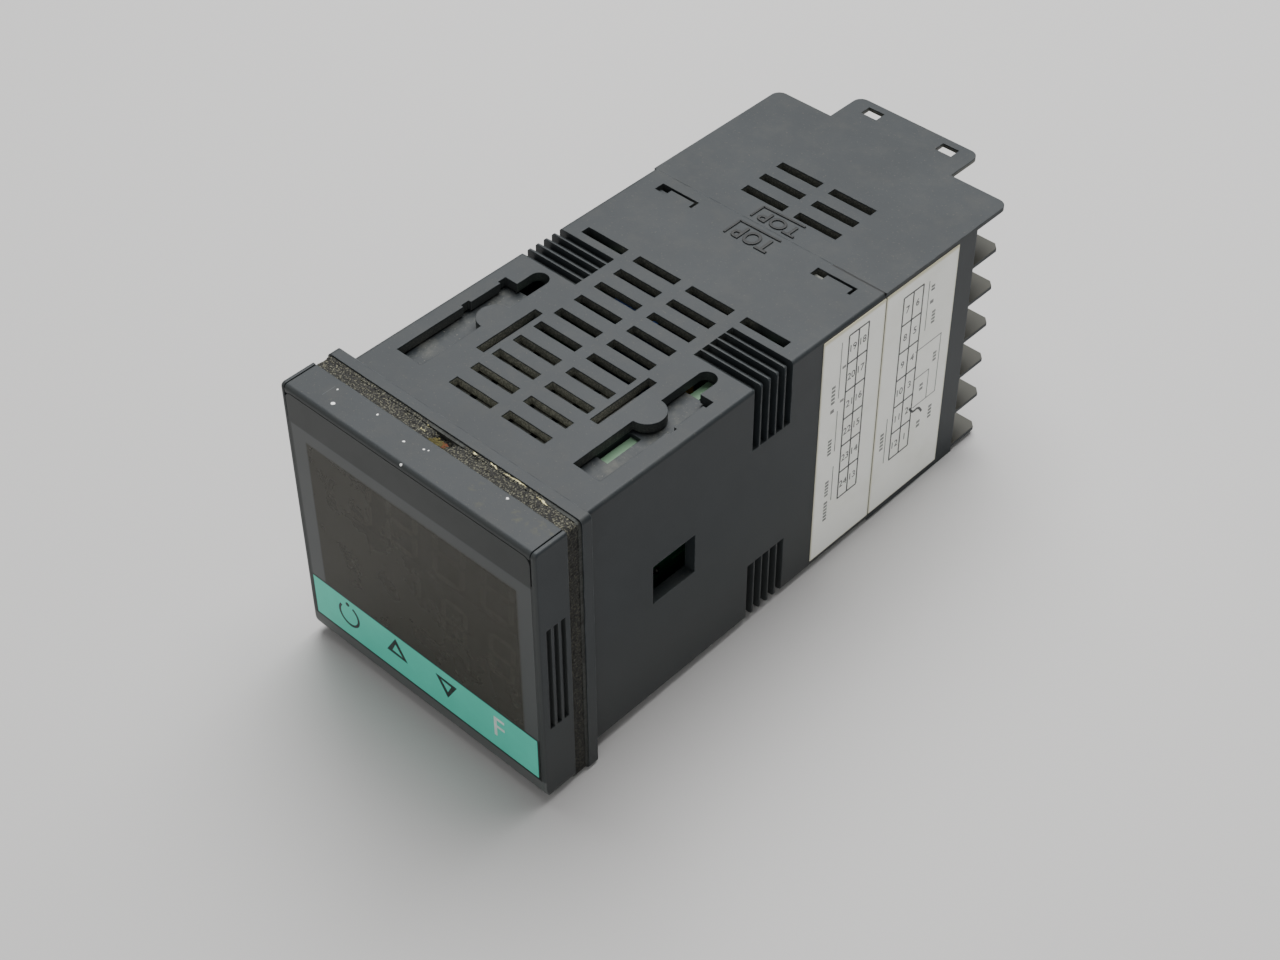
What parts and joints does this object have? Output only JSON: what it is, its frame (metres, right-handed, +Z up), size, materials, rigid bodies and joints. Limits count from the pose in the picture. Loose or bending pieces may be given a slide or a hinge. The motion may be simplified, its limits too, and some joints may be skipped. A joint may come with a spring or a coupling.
{
  "type": "temperature controller",
  "caption": "Square-fronted panel temperature controller with a draw-out front unit, vented case, corner ratchet bands for a panel clamp and screw terminals at the rear.",
  "frame": {"origin": "on the case axis, in the plane of the flange's rear face that seats on the panel", "axes": "+Y along the case to the rear, +Z up, +X to the right seen from the front"},
  "size_m": [0.048, 0.1077, 0.048],
  "materials": {
    "case_plastic": "fine spark-eroded grain, dusty",
    "clamp_metal": "tin plated, dull",
    "screw_steel": "zinc plated",
    "socket_plastic": "plain",
    "label_paper": "printed paper film",
    "bezel_plastic": "fine grain",
    "film": "printed polyester",
    "smoked_pane": "smoked",
    "foam_rubber": "open-cell foam, dusty",
    "carrier_plastic": "dusty",
    "circuit_board": "solder mask",
    "digit_block": "grey face",
    "switch_plastic": "plain",
    "core_iron": "laminated",
    "coil_tape": "taped",
    "relay_plastic": "plain",
    "capacitor_sleeve": "sleeved",
    "chip_plastic": "plain",
    "key_plastic": "plain"
  },
  "bodies": {
    "case": {"case_shell": "case_plastic", "rear_terminal_housing": "case_plastic", "terminal_clamps": "clamp_metal", "terminal_screws": "screw_steel", "board_sockets": "socket_plastic", "side_label_front": "label_paper", "side_label_rear": "label_paper"},
    "front_unit": {"front_bezel": "bezel_plastic", "front_film": "film", "display_filter": "smoked_pane", "gasket": "foam_rubber", "board_carrier": "carrier_plastic", "display_board": "circuit_board", "upper_display": "digit_block", "lower_display": "digit_block", "key_switches": "switch_plastic", "main_board": "circuit_board", "power_board": "circuit_board", "board_headers": "socket_plastic", "transformer_core": "core_iron", "transformer_coil": "coil_tape", "output_relays": "relay_plastic", "supply_capacitors": "capacitor_sleeve", "processor_chip": "chip_plastic"},
    "scroll_key": {"key_scroll": "key_plastic"},
    "up_key": {"key_up": "key_plastic"},
    "down_key": {"key_down": "key_plastic"},
    "function_key": {"key_function": "key_plastic"}
  },
  "joints": [
    {"name": "front_unit_slide", "type": "slide", "parent": "case", "child": "front_unit", "axis": [0, -1, 0], "range_m": [0, 0.075]},
    {"name": "scroll_key_press", "type": "slide", "parent": "front_unit", "child": "scroll_key", "axis": [0, 1, 0], "range_m": [0, 0.00035], "stiffness_N_per_m": 4000},
    {"name": "up_key_press", "type": "slide", "parent": "front_unit", "child": "up_key", "axis": [0, 1, 0], "range_m": [0, 0.00035], "stiffness_N_per_m": 4000},
    {"name": "down_key_press", "type": "slide", "parent": "front_unit", "child": "down_key", "axis": [0, 1, 0], "range_m": [0, 0.00035], "stiffness_N_per_m": 4000},
    {"name": "function_key_press", "type": "slide", "parent": "front_unit", "child": "function_key", "axis": [0, 1, 0], "range_m": [0, 0.00035], "stiffness_N_per_m": 4000}
  ]
}
